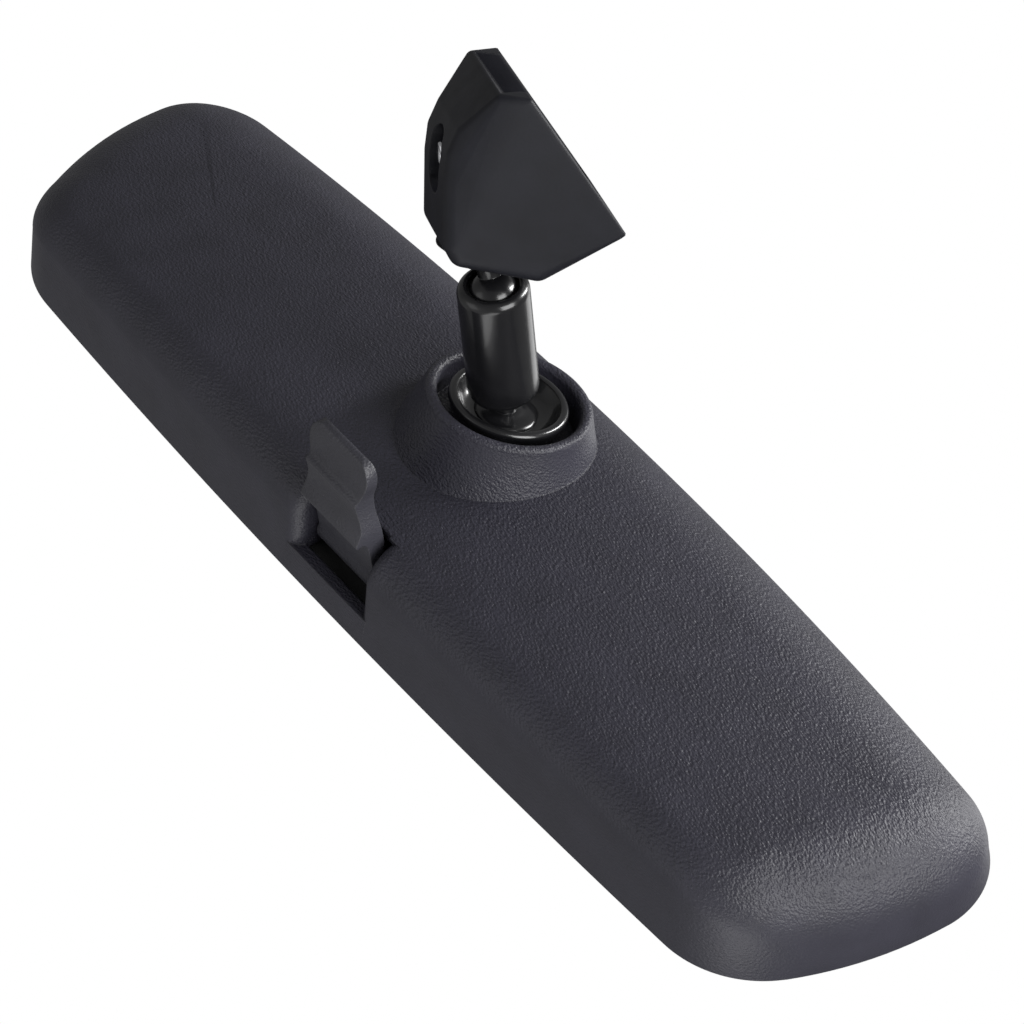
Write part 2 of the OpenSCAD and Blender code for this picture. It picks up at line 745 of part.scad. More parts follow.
// Bent wire that snaps behind the button: two legs in the pocket and a loop that hangs in
// the access hole, where a tool can reach it. Half of its path, in foot coordinates.
retainer_wire = 0.55;
function in_hole(x, a, b) = [x, hole_y + a * cos(hole_turn) - b * sin(hole_turn),
    hole_z + a * sin(hole_turn) + b * cos(hole_turn)];
retainer_half = [in_hole(0, 2.6, 0.9), in_hole(0.9, 1.6, 1.2), in_hole(2, -1.6, 2.2),
    in_hole(2.6, -2, 4.5), in_hole(2.9, 0, 10), in_hole(3, 0.5, 14.5), [3.6, 5, -5.6],
    [6.8, 6.5, -5.2], [6.8, 11.3, -5.2]];
module button_retainer_spring() {
    color([0.62, 0.62, 0.64]) in_foot() for (s = [-1, 1])
        for (i = [0:len(retainer_half) - 2])
            hull() for (p = [retainer_half[i], retainer_half[i + 1]])
                translate([s * p[0], p[1], p[2]]) sphere(r = retainer_wire, $fn = 10);
}

// Ball, neck, flare and the shank that is pressed into the foot
module foot_ball_stud() {
    color([0.08, 0.08, 0.09]) on_stud() {
        sphere(r = ball_r);
        cylinder(r = neck_r, h = 7);
        translate([0, 0, 4]) cylinder(r = neck_r, h = 3);
        translate([0, 0, 6.2]) cylinder(r1 = neck_r, r2 = 2.6, h = 0.5);
        translate([0, 0, 6.6]) cylinder(r = 2.6, h = stud_seat);
    }
}

mount_foot();
button_retainer_spring();
foot_ball_stud();
upper_ball_liner();
arm_tube();
upper_ball_seat();
arm_spring();
spring_washer();
lower_ball_seat();
lower_ball_liner();
head_ball_stud();
stud_dish();
pivot_plate();
stud_washer();
stud_screw();
toggle_spring();
toggle_spring_rivets();
mirror_case();
mirror_glass();
reflective_coating();
glass_backing_pad();
tilt_pivot_pin();
pivot_pin_clips();
lever_pin();
flip_lever();
toggle_crank_pin();
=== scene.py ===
import json
import math

import bmesh
import bpy
from mathutils import Matrix, Vector


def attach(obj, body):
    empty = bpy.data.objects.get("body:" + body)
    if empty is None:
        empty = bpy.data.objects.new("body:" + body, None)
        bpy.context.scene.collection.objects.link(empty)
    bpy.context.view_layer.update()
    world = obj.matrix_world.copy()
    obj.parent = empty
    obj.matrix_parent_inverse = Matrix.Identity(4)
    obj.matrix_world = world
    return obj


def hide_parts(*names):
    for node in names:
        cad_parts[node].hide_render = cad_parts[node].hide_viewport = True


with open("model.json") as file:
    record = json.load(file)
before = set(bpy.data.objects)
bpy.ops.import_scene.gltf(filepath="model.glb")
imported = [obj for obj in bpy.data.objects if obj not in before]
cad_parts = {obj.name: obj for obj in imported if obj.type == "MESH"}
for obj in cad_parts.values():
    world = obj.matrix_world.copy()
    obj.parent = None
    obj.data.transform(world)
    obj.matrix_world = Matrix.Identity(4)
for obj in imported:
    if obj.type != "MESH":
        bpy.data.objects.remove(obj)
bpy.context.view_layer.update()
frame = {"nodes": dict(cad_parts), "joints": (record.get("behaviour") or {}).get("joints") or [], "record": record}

scene = bpy.context.scene


def sin(a):
    return math.sin(math.radians(a))


def cos(a):
    return math.cos(math.radians(a))


# ------------------------------------------------------------------ places, in millimetres
joint_at = {j["name"]: Vector(j["pos_m"]) * 1000 for j in frame["joints"]}
mount_axis = {m["name"]: Vector(m["axis"]).normalized() for m in frame["record"]["mounts"]}
ball_up, ball_low = joint_at["arm_swing"], joint_at["head_pan"]
ball_in_head = Vector((0, 36.6, 6.1))
head_at = ball_low - ball_in_head
foot_y, foot_z = mount_axis["windshield_channel"], mount_axis["windshield_face"]
FOOT = Matrix((foot_y.cross(foot_z), foot_y, foot_z)).transposed().to_4x4()
HEAD = Matrix.Translation(head_at)
arm_dir = (ball_up - ball_low).normalized()
ARM = Matrix.Translation(ball_low) @ arm_dir.to_track_quat("Z", "Y").to_matrix().to_4x4()
arm_len = (ball_up - ball_low).length


def turn_x(a):
    return Matrix.Rotation(math.radians(a), 4, "X")


collar_y, collar_z, collar_lean, bore, rim, skirt_flare = 30.4, 7.9, 16, 13.6, 2.6, 4
COLLAR = HEAD @ Matrix.Translation((0, collar_y, collar_z)) @ turn_x(collar_lean - 90)
DISH = COLLAR @ Matrix.Translation((0, 0, -0.1))
foot_ball, stud_slope = Vector((0, -17.7, -26.1)), 23
STUD = FOOT @ Matrix.Translation(foot_ball) @ turn_x(stud_slope - 90)


# ------------------------------------------------------------------ mesh helpers
def make(name, verts, faces, place=None):
    """A mesh object from points in millimetres, carried to the row frame."""
    place = place or Matrix.Identity(4)
    mesh = bpy.data.meshes.new(name)
    mesh.from_pydata([tuple((place @ Vector(v)) * 0.001) for v in verts], [], faces)
    bm = bmesh.new()
    bm.from_mesh(mesh)
    bmesh.ops.remove_doubles(bm, verts=bm.verts, dist=1e-7)
    bmesh.ops.recalc_face_normals(bm, faces=bm.faces)
    bmesh.ops.triangulate(bm, faces=[f for f in bm.faces if len(f.verts) > 4],
                          ngon_method="BEAUTY")
    bm.to_mesh(mesh)
    bm.free()
    obj = bpy.data.objects.new(name, mesh)
    scene.collection.objects.link(obj)
    return obj


def loft(name, rings, place=None):
    """Closed skin through rings of equally many points, capped at both ends."""
    m, n = len(rings), len(rings[0])
    faces = []
    for k in range(m - 1):
        for i in range(n):
            a, b = k * n + i, k * n + (i + 1) % n
            faces.append((a, b, b + n, a + n))
    faces.append(tuple(range(n)))
    faces.append(tuple((m - 1) * n + i for i in range(n)))
    return make(name, [p for ring in rings for p in ring], faces, place)


def lathe(name, profile, place, n=144):
    """Closed profile of (radius, z) turned about Z in n steps. Points on the axis are merged."""
    verts, faces = [], []
    for k in range(n):
        a = 2 * math.pi * k / n
        verts += [(max(r, 0) * math.cos(a), max(r, 0) * math.sin(a), z) for r, z in profile]
    m = len(profile)
    for k in range(n):
        for i in range(m):
            a, b = k * m + i, k * m + (i + 1) % m
            c, d = ((k + 1) % n) * m + i, ((k + 1) % n) * m + (i + 1) % m
            if profile[i][0] <= 0 and profile[(i + 1) % m][0] <= 0:
                continue
            faces.append((a, c, d, b))
    return make(name, verts, faces, place)


def box(name, lo, hi, place):
    v = [(x, y, z) for x in (lo[0], hi[0]) for y in (lo[1], hi[1]) for z in (lo[2], hi[2])]
    f = [(0, 1, 3, 2), (4, 6, 7, 5), (0, 4, 5, 1), (2, 3, 7, 6), (0, 2, 6, 4), (1, 5, 7, 3)]
    return make(name, v, f, place)


def arc(cx, cy, r, a0, a1, n):
    return [(cx + r * cos(a0 + (a1 - a0) * i / n), cy + r * sin(a0 + (a1 - a0) * i / n))
            for i in range(n + 1)]


def cut(obj, tool, operation="DIFFERENCE"):
    """Boolean worked into the mesh; the tool is used up."""
    mod = obj.modifiers.new("cut", "BOOLEAN")
    mod.operation, mod.object, mod.solver = operation, tool, "MANIFOLD"
    graph = bpy.context.evaluated_depsgraph_get()
    mesh = bpy.data.meshes.new_from_object(obj.evaluated_get(graph))
    obj.modifiers.clear()
    old, obj.data = obj.data, mesh
    bpy.data.meshes.remove(old)
    bpy.data.objects.remove(tool)
    return obj


def finish_piece(obj, look, body, nodes, angle=32):
    """Finish, smooth shading and body of a piece; hides the CAD nodes it stands for."""
    obj.data.materials.clear()
    obj.data.materials.append(look)
    obj.data.shade_smooth()
    obj.data.set_sharp_from_angle(angle=math.radians(angle))
    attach(obj, body)
    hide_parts(*nodes)


def spline(points, per, closed=False):
    """Catmull-Rom curve through the points."""
    n = len(points)
    out = []
    for i in range(n if closed else n - 1):
        p = [points[(i + k) % n] if closed else points[min(max(i + k, 0), n - 1)]
             for k in (-1, 0, 1, 2)]
        for j in range(per):
            t = j / per
            out.append(tuple(
                0.5 * (2 * p[1][c] + (p[2][c] - p[0][c]) * t
                       + (2 * p[0][c] - 5 * p[1][c] + 4 * p[2][c] - p[3][c]) * t * t
                       + (3 * p[1][c] - p[0][c] - 3 * p[2][c] + p[3][c]) * t ** 3)
                for c in range(len(p[1]))))
    if not closed:
        out.append(tuple(points[-1]))
    return out


# ------------------------------------------------------------------ materials
looks = {}
MOTTLE_SCALE, GLOSS_SCALE, WEAR_SCALE = 120, 300, 900


def material(name, color, rough, rough_var=0.06, metallic=0.0, shade_var=0.2, grain=None,
             fine=(2500, 0.1, 0.00002), wear=None, edge=0.0003, coat=0.0, glass=False,
             share_name=None, specular=0.5):
    """Procedural finish: mottled colour, uneven gloss, surface bump and worn edges.

    fine is (scale, strength, distance) of the small bump. grain is the same for the moulded
    pebbles, with the stretch of their cells, and share_name is the mesh attribute that fades
    them. edge is the radius in metres within which the wear colour shows."""
    mat = bpy.data.materials.new("look_" + name)
    looks[name] = mat
    mat.use_nodes = True
    nt = mat.node_tree
    nd, ln = nt.nodes, nt.links
    bsdf = nd["Principled BSDF"]
    coord = nd.new("ShaderNodeTexCoord").outputs["Object"]

    def noise(scale, detail, vector=None):
        t = nd.new("ShaderNodeTexNoise")
        t.inputs["Scale"].default_value = scale
        t.inputs["Detail"].default_value = detail
        ln.new(vector or coord, t.inputs["Vector"])
        return t.outputs["Fac"]

    ramp = nd.new("ShaderNodeValToRGB")
    ramp.color_ramp.elements[0].position, ramp.color_ramp.elements[1].position = 0.3, 0.7
    for e, k in zip(ramp.color_ramp.elements, (1 - shade_var, 1 + shade_var)):
        e.color = tuple(min(c * k, 1) for c in color) + (1,)
    ln.new(noise(MOTTLE_SCALE, 5), ramp.inputs["Fac"])
    base = ramp.outputs["Color"]
    bevel = nd.new("ShaderNodeBevel")
    bevel.samples = 4
    bevel.inputs["Radius"].default_value = edge
    normal = bevel.outputs["Normal"]
    if wear:
        geo = nd.new("ShaderNodeNewGeometry")
        dot = nd.new("ShaderNodeVectorMath")
        dot.operation = "DOT_PRODUCT"
        ln.new(bevel.outputs["Normal"], dot.inputs[0])
        ln.new(geo.outputs["Normal"], dot.inputs[1])
        mask = nd.new("ShaderNodeMapRange")
        for key, value in (("From Min", 0.97), ("From Max", 0.75),
                           ("To Min", 0.0), ("To Max", 1.0)):
            mask.inputs[key].default_value = value
        ln.new(dot.outputs["Value"], mask.inputs["Value"])
        spotty = nd.new("ShaderNodeMath")
        spotty.operation = "MULTIPLY"
        ln.new(mask.outputs["Result"], spotty.inputs[0])
        ln.new(noise(WEAR_SCALE, 4), spotty.inputs[1])
        mix = nd.new("ShaderNodeMix")
        mix.data_type = "RGBA"
        ln.new(spotty.outputs[0], mix.inputs[0])
        ln.new(base, mix.inputs[6])
        mix.inputs[7].default_value = tuple(wear) + (1,)
        base = mix.outputs[2]
    ln.new(base, bsdf.inputs["Base Color"])
    gloss = nd.new("ShaderNodeMapRange")
    gloss.inputs["To Min"].default_value = max(rough - rough_var, 0.01)
    gloss.inputs["To Max"].default_value = rough + rough_var
    ln.new(noise(GLOSS_SCALE, 6), gloss.inputs["Value"])
    ln.new(gloss.outputs["Result"], bsdf.inputs["Roughness"])

    def bump(height, strength, distance, under):
        b = nd.new("ShaderNodeBump")
        b.inputs["Strength"].default_value = strength
        b.inputs["Distance"].default_value = distance
        ln.new(height, b.inputs["Height"])
        ln.new(under, b.inputs["Normal"])
        return b.outputs["Normal"]

    normal = bump(noise(fine[0], 4), fine[1], fine[2], normal)
    if grain:
        scale, strength, distance, stretch = grain
        mapping = nd.new("ShaderNodeMapping")
        mapping.inputs["Scale"].default_value = stretch
        ln.new(coord, mapping.inputs["Vector"])
        cells = nd.new("ShaderNodeTexVoronoi")
        cells.feature = "SMOOTH_F1"
        cells.inputs["Scale"].default_value = scale
        ln.new(mapping.outputs["Vector"], cells.inputs["Vector"])
        pebbles = nd.new("ShaderNodeMath")
        pebbles.operation = "MULTIPLY_ADD"
        ln.new(noise(scale * 0.8, 3, mapping.outputs["Vector"]), pebbles.inputs[0])
        pebbles.inputs[1].default_value = 1.2
        ln.new(cells.outputs["Distance"], pebbles.inputs[2])
        height = pebbles.outputs[0]
        if share_name:
            share = nd.new("ShaderNodeAttribute")
            share.attribute_name = share_name
            faded = nd.new("ShaderNodeMath")
            faded.operation = "MULTIPLY"
            ln.new(height, faded.inputs[0])
            ln.new(share.outputs["Fac"], faded.inputs[1])
            height = faded.outputs[0]
        normal = bump(height, strength, distance, normal)
    ln.new(normal, bsdf.inputs["Normal"])
    bsdf.inputs["Metallic"].default_value = metallic
    bsdf.inputs["Coat Weight"].default_value = coat
    bsdf.inputs["Coat Roughness"].default_value = 0.06
    bsdf.inputs["Specular IOR Level"].default_value = specular
    if glass:
        bsdf.inputs["Transmission Weight"].default_value = 1.0
        bsdf.inputs["IOR"].default_value = 1.5
    return mat


case_mat = material("case_plastic", (0.0265, 0.0257, 0.037), 0.47, 0.06, shade_var=0.12,
                    grain=(2700, 1.0, 0.0002, (0.6, 1, 1)), wear=(0.06, 0.06, 0.065), edge=0.0005,
                    share_name="grain")
lever_mat = material("lever_plastic", (0.038, 0.0375, 0.047), 0.42, 0.06, shade_var=0.12,
                     grain=(2600, 0.8, 0.0001, (1, 1, 1)), wear=(0.07, 0.07, 0.075), edge=0.0004)
foot_mat = material("foot_paint", (0.0085, 0.0088, 0.0125), 0.5, 0.07, specular=0.27,
                    fine=(1400, 0.35, 0.00006), wear=(0.045, 0.045, 0.048), edge=0.0004)
gloss_mat = material("gloss_black", (0.007, 0.007, 0.008), 0.24, 0.03, fine=(600, 0.05, 0.00001),
                     wear=(0.05, 0.05, 0.052), edge=0.0002, coat=0.15)
dish_mat = material("dish_black", (0.008, 0.008, 0.009), 0.24, 0.03, fine=(700, 0.05, 0.00001),
                    wear=(0.05, 0.05, 0.052), edge=0.0002, coat=0.4)
material("acetal_black", (0.008, 0.008, 0.009), 0.35, 0.06, wear=(0.05, 0.05, 0.05))
material("nylon", (0.75, 0.74, 0.69), 0.42, 0.06, shade_var=0.06, wear=(0.85, 0.84, 0.8))
wire_mat = material("spring_steel", (0.62, 0.62, 0.64), 0.25, 0.08, 1.0, 0.12,
                    wear=(0.8, 0.8, 0.8), edge=0.0001)
material("plated_steel", (0.58, 0.57, 0.53), 0.32, 0.1, 1.0, 0.12, wear=(0.75, 0.74, 0.7))
material("pad_foam", (0.03, 0.03, 0.03), 0.85, 0.08, fine=(4000, 0.5, 0.0001),
         wear=(0.08, 0.08, 0.08))
material("silvering", (0.9, 0.91, 0.92), 0.03, 0.015, 1.0, 0.02, fine=(300, 0.01, 0.000002))
material("clear_glass", (0.95, 0.98, 0.97), 0.02, 0.012, shade_var=0.02,
         fine=(250, 0.01, 0.000002), glass=True)
for part in frame["record"]["subparts"]:
    node = frame["nodes"][part["node"]]
    node.data.materials.clear()
    node.data.materials.append(looks[part["material_slot"]])

# ------------------------------------------------------------------ case
# Corner arcs of the outline seen from the glass, and half angles of the bowed sides, in degrees.
low_c, low_r, top_c, top_r = (97.2, -10.5), 22.2, (106.4, 11.0), 18.6
top_bow, low_bow, end_bow = 6.4, 2.8, 11.5
gap = math.hypot(top_c[0] - low_c[0], top_c[1] - low_c[1])
end_normal = math.degrees(math.atan2(top_c[1] - low_c[1], top_c[0] - low_c[0])
                          - math.acos((low_r - top_r) / gap))


def arc_points(c, r, a0, a1, n):
    """Points (x, z, outward angle) on an arc, without its last one."""
    return [(c[0] + r * cos(a0 + (a1 - a0) * i / n), c[1] + r * sin(a0 + (a1 - a0) * i / n),
             a0 + (a1 - a0) * i / n) for i in range(n)]


def joining_arc(p, q, a0, a1, n):
    r = math.dist(p, q) / (2 * sin((a1 - a0) / 2))
    mid = (a0 + a1) / 2
    c = [(p[k] + q[k]) / 2 - r * cos((a1 - a0) / 2) * (cos(mid), sin(mid))[k] for k in (0, 1)]
    return arc_points(c, r, a0, a1, n)


def on_arc(c, r, a):
    return (c[0] + r * cos(a), c[1] + r * sin(a))


right = (arc_points(low_c, low_r, -90 + low_bow, end_normal - end_bow, 26)
         + joining_arc(on_arc(low_c, low_r, end_normal - end_bow),
                       on_arc(top_c, top_r, end_normal + end_bow),
                       end_normal - end_bow, end_normal + end_bow, 12)
         + arc_points(top_c, top_r, end_normal + end_bow, 90 - top_bow, 30))
tr, lr = on_arc(top_c, top_r, 90 - top_bow), on_arc(low_c, low_r, -90 + low_bow)
left = [(-x, z, 180 - a) for x, z, a in reversed(right)]
outline = (right + joining_arc(tr, (-tr[0], tr[1]), 90 - top_bow, 90 + top_bow, 90)
           + [(-tr[0], tr[1], 90 + top_bow)] + left[:-1]
           + joining_arc((-lr[0], lr[1]), lr, -90 - low_bow, -90 + low_bow, 100))
wall, lip_t, lip_w, glass_inset = 2.2, 1.2, 3.2, 3.4
notch_half, ledge_y, notch_top = 9.9, 7.5, -26.4
lever_y, lever_z = 10.2, -26.6
pivot_y, pivot_z = 10.8, 20
# The crown is drawn in to a line of this half length at this height.
spine_x, spine_z, spine_blend = 82, -3, 8


def back_y(x, z):
    return 23.8 - 0.1 * z - 0.0045 * z * z - 0.0003 * x * x


def shape(p, skin):
    """Inset of the side wall at its foot, width of the shoulder and y where it starts."""
    low, top = max(0, -sin(p[2])) ** 2, max(0, sin(p[2])) ** 2
    draft = 0.6 + 0.7 * low + top * (1 - min(abs(p[0]) / 110, 1) ** 2)
    width = 16.7 - 9 * low + 1.2 * top - skin * 0.4
    ex, ez = inset(p, skin + draft + width)
    return skin + draft, width, back_y(ex, ez) * (0.2 + 0.45 * low)


def inset(p, d):
    return p[0] - d * cos(p[2]), p[1] - d * sin(p[2])


def shoulder_point(p, phi, skin):
    d0, width, y0 = shape(p, skin)
    x, z = inset(p, d0 + width * (1 - cos(phi)))
    return (x, y0 + (back_y(x, z) - skin - y0) * sin(phi), z)


def flat_ring(d, y):
    return [(inset(p, d)[0], y, inset(p, d)[1]) for p in outline]


def shoulder_ring(phi, skin):
    return [shoulder_point(p, phi, skin) for p in outline]


def crown_ring(s, skin):
    """Ring of the crown, drawn in towards a line along the middle of the back."""
    out = []
    for x, y, z in shoulder_ring(90, skin):
        mid = x / (1 + abs(x / spine_x) ** spine_blend) ** (1 / spine_blend)
        u, v = mid + (x - mid) * s, spine_z + (z - spine_z) * s
        out.append((u, back_y(u, v) - skin, v))
    return out


def side_box(name, side, x, y, z):
    """Box in the head's frame that lies on one side of the middle plane."""
    lo, hi = sorted((side * x[0], side * x[1]))
    return box(name, (lo, y[0], z[0]), (hi, y[1], z[1]), HEAD)


def across(y, z):
    """Place whose Z runs along the case's long axis through (y, z)."""
    return HEAD @ Matrix.Translation((0, y, z)) @ Matrix.Rotation(math.radians(90), 4, "Y")


def case_body():
    shell = loft("case_body", [flat_ring(0.5, 0), flat_ring(0.15, 0.15), flat_ring(0.02, 0.5)]
                 + [shoulder_ring(phi, 0) for phi in range(0, 86, 4)] + [shoulder_ring(90, 0)]
                 + [crown_ring(s / 20, 0) for s in range(18, 0, -1)], HEAD)
    hollow = loft("hollow", [flat_ring(glass_inset - 0.2, lip_t), flat_ring(glass_inset - 0.1, 7.2)]
                  + [shoulder_ring(phi, wall) for phi in range(30, 91, 10)]
                  + [crown_ring(s / 10, wall) for s in (8, 6, 4, 2, 0.6)], HEAD)
    for s in (-1, 1):
        cut(hollow, side_box("rib", s, (9.9, 11.9), (6.2, 40), (-40, -20.5)))
        cut(hollow, side_box("lug", s, (17, 20.5), (8, 40), (16.4, 23.6)))
        cut(hollow, box("stringer", (s * 61 - 37, 14, -17.8), (s * 61 + 37, 40, -16.2), HEAD))
        for x in (46, 72, 98):
            edge = [(4.9 + 0.0333 * (z + 33), z) for z in (-34, 34)] + [(40, 34), (40, -34)]
            cut(hollow, loft("pad_rib", [[(s * x + u, y, z) for y, z in edge]
                                         for u in (-0.8, 0.8)], HEAD))
    cut(shell, hollow)
    cut(shell, loft("opening", [flat_ring(wall + lip_w, -1),
                                flat_ring(wall + lip_w, lip_t + 0.02)], HEAD))
    cut(shell, box("notch", (-notch_half, ledge_y, -40), (notch_half, 40, notch_top), HEAD))
    cut(shell, notch_flare())
    inner = bore - 1
    cut(shell, lathe("collar_hole", [(0, -30), (inner, -30), (inner, 20), (0, 20)], COLLAR))
    rim_r = rim / 2
    profile = ([(bore, -6.4), (bore, -rim_r)] + arc(bore + rim_r, -rim_r, rim_r, 170, 10, 16)
               + [(bore + rim, -rim_r), (bore + rim + skirt_flare, -12.5), (bore, -12.5),
                  (bore, -9.6), (9.5, -9.6), (9.5, -6.4)])
    cut(shell, lathe("collar", profile, COLLAR), "UNION")
    for r, half, y, z in ((1.5, 21, pivot_y, pivot_z), (1.25, 12.4, lever_y, lever_z)):
        pin = [(0, -half), (r, -half), (r, half), (0, half)]
        cut(shell, lathe("pin_bore", pin, across(y, z), 32))
    return shell


def notch_flare():
    """Rounds the edges between the notch's side walls and the back."""
    mid = min(outline, key=lambda p: (p[1] > 0, abs(p[0])))
    d0, width, y0 = shape(mid, 0)
    path = []
    for k in range(8):
        y = ledge_y + (y0 - ledge_y) * k / 8
        path.append((y, mid[1] + d0 * y / y0))
    path += [shoulder_point(mid, phi, 0)[1:] for phi in range(0, 87, 4)]
    path = [p for p in path if p[1] < notch_top + 0.1]
    r, w = 3.6, notch_half - 0.05
    rings = []
    for i, (y, z) in enumerate(path):
        a, b = path[max(i - 1, 0)], path[min(i + 1, len(path) - 1)]
        ty, tz = b[0] - a[0], b[1] - a[1]
        k = math.hypot(ty, tz)
        ny, nz = -tz / k, ty / k
        if (nz > 0 and i < 3) or ny * 0.3 - nz < 0:
            ny, nz = -ny, -nz
        half = ([(w, r + 0.01)]
                + [(w + r - r * sin(t), r - r * cos(t)) for t in range(90, -1, -6)]
                + [(w + r, -1.5)])
        section = half + [(-x, t) for x, t in reversed(half)]
        rings.append([(x, y - ny * (t - 0.1), z - nz * (t - 0.1)) for x, t in section])
    return loft("flare", rings, HEAD)


case_shape = case_body()
# The grain is fullest on the back and fades on the side walls.
grain_share = case_shape.data.attributes.new("grain", "FLOAT", "POINT")
grain_share.data.foreach_set("value", [0.3 + 0.7 * max(0, min(1, (v.normal.y - 0.35) / 0.5))
                                       for v in case_shape.data.vertices])
finish_piece(case_shape, case_mat, "case", ["mirror_case"])

# ------------------------------------------------------------------ flip lever
tab_end, crank_r, crank_x = 42.3, 5.3, 4.2
# Side view of the tab as (y, z), out along its lower face and back along its upper one.
tab_side = [(9.2, -25.2), (14, -27.1), (18, -27.2), (22, -27.25), (26, -27.8), (30, -28.35),
            (36, -28.55), (40.2, -28.3), (41.7, -28.5), (42.2, -29.2), (41.4, -30.3),
            (38, -30.9), (34.5, -31.6), (33.3, -32.7), (32.2, -32.6), (30, -32.2), (27, -32.1),
            (25, -32.8), (23.7, -33.4), (22.95, -33.1), (23.1, -32), (22, -30.9), (18, -30.2),
            (13, -29.6), (9.2, -29.4)]


def ease(t):
    t = max(0, min(1, t))
    return t * t * (3 - 2 * t)


def tab_half(y):
    """Half width of the tab: a waist behind the lip and rounded tip corners."""
    half = 8.7 - 1.1 * ease((y - 25) / 7) + 1.1 * ease((y - 33) / 5)
    corner = max(0, y - (tab_end - 4))
    return half - 4 + math.sqrt(max(16 - min(corner, 3.9) ** 2, 0))


def round_edges(obj, width, angle=48):
    """Bevels the edges sharper than angle by width, in millimetres."""
    mod = obj.modifiers.new("round", "BEVEL")
    mod.width, mod.segments, mod.limit_method = width * 0.001, 3, "ANGLE"
    mod.angle_limit = math.radians(angle)
    graph = bpy.context.evaluated_depsgraph_get()
    mesh = bpy.data.meshes.new_from_object(obj.evaluated_get(graph))
    obj.modifiers.clear()
    obj.data = mesh


def lever_mesh():
    side = spline(tab_side, 5, True)
    tab = loft("lever_tab", [[(x, y, z) for y, z in side] for x in (-9, 9)], HEAD)
    ys = [5 + (tab_end + 0.5 - 5) * k / 60 for k in range(61)]
    plan = [(tab_half(y), y) for y in ys]
    plan += [(-x, y) for x, y in reversed(plan)]
    outline_cut = loft("tab_plan", [[(x, y, z) for x, y in plan] for z in (-40, -20)], HEAD)
    cut(tab, outline_cut, "INTERSECT")
    round_edges(tab, 0.45)
    cross = across(lever_y, lever_z)
    hub = lathe("hub", [(1.3, -9.5)] + arc(2.8, -9.1, 0.4, -90, 0, 4) + arc(2.8, 9.1, 0.4, 0, 90, 4)
                + [(1.3, 9.5)], cross, 64)
    cut(tab, hub, "UNION")
    crank = Matrix.Translation((0, lever_y, lever_z)) @ turn_x(18)
    for s in (-1, 1):
        x = s * crank_x
        cut(tab, box("crank_arm", (x - 1.2, -1.2, 1.5), (x + 1.2, 1.2, crank_r),
                     HEAD @ crank), "UNION")
        end = (HEAD @ crank @ Matrix.Translation((x, 0, crank_r))
               @ Matrix.Rotation(math.radians(90), 4, "Y"))
        eye = [(1.01, -1.2), (1.6, -1.2), (1.6, 1.2), (1.01, 1.2)]
        cut(tab, lathe("crank_end", eye, end, 48), "UNION")
    cut(tab, lathe("pin_bore", [(0, -10), (1.3, -10), (1.3, 10), (0, 10)], cross, 48))
    return tab


finish_piece(lever_mesh(), lever_mat, "lever", ["flip_lever"])

# ------------------------------------------------------------------ foot
foot_w, foot_len = 28, 32.4
hole_y, hole_z, hole_turn, hole_r, hole_half = 11.4, -20.2, 42, 4.2, 2.1


def foot_mesh():
    """Hull of rounded cross edges given as (y, z, half width, radius), with its cut-outs."""
    edges = [(17.8, -4.6, 12.8, 1.5), (14.1, -12.4, 10.6, 3), (12, -15.7, 10.6, 3),
             (8.7, -18.5, 10.6, 3), (-0.8, -24.9, 10.6, 3), (-3.2, -25.2, 10.6, 3),
             (-13, -16, 12, 3)]
    pts = []
    for y, z, half, r in edges:
        for s in (-1, 1):
            pts += [(s * (half - r) + r * cos(a) * cos(b), y + r * sin(a) * cos(b), z + r * sin(b))
                    for a in range(0, 360, 9) for b in range(-90, 91, 9)]
    for s in (-1, 1):
        for t in (-1, 1):
            cx, cy = s * (foot_w / 2 - 0.8), t * (foot_len / 2 - 0.8)
            pts += [(cx + 0.8 * cos(a), cy + 0.8 * sin(a), z)
                    for a in range(0, 360, 15) for z in (-1.2, -0.3)]
            pts += [(cx + 0.5 * cos(a), cy + 0.5 * sin(a), 0) for a in range(0, 360, 15)]
    mesh = bpy.data.meshes.new("foot_body")
    bm = bmesh.new()
    for p in pts:
        bm.verts.new((FOOT @ Vector(p)) * 0.001)
    bmesh.ops.convex_hull(bm, input=bm.verts)
    bmesh.ops.delete(bm, geom=[v for v in bm.verts if not v.link_faces], context="VERTS")
    bmesh.ops.recalc_face_normals(bm, faces=bm.faces)
    bm.to_mesh(mesh)
    bm.free()
    foot = bpy.data.objects.new("foot_body", mesh)
    scene.collection.objects.link(foot)
    cut(foot, lathe("stud_boss", [(0, 7.4), (4.2, 7.4), (8.4, 12.8), (0, 12.8)], STUD, 96),
        "UNION")
    channel = [(-10.2, 1), (-10, 0), (-10, -0.8), (-11, -3.8),
               (11, -3.8), (10, -0.8), (10, 0), (10.2, 1)]
    cut(foot, loft("channel", [[(x, y, z) for x, z in channel] for y in (-11, 40)], FOOT))
    cut(foot, box("pocket", (-8, -3, -7.4), (8, 12.5, -3.7), FOOT))
    slot_ring = arc(0, hole_half, hole_r, 0, 180, 24) + arc(0, -hole_half, hole_r, 180, 360, 24)
    hole = FOOT @ Matrix.Translation((0, hole_y, hole_z)) @ turn_x(hole_turn)
    wide = [(x * 1.12, y * 1.12) for x, y in slot_ring]
    cut(foot, loft("access", [[(x, y, z) for x, y in slot_ring] for z in (-8, 18)], hole))
    cut(foot, loft("access_lead", [[(x, y, -6) for x, y in wide], [(x, y, -2.9) for x, y in wide],
                                   [(x, y, -2.2) for x, y in slot_ring]], hole))
    cut(foot, lathe("stud_bore", [(0, 4), (2.6, 4), (2.6, 15.5), (0, 15.5)], STUD, 64))
    return foot


finish_piece(foot_mesh(), foot_mat, "foot", ["mount_foot"], 28)


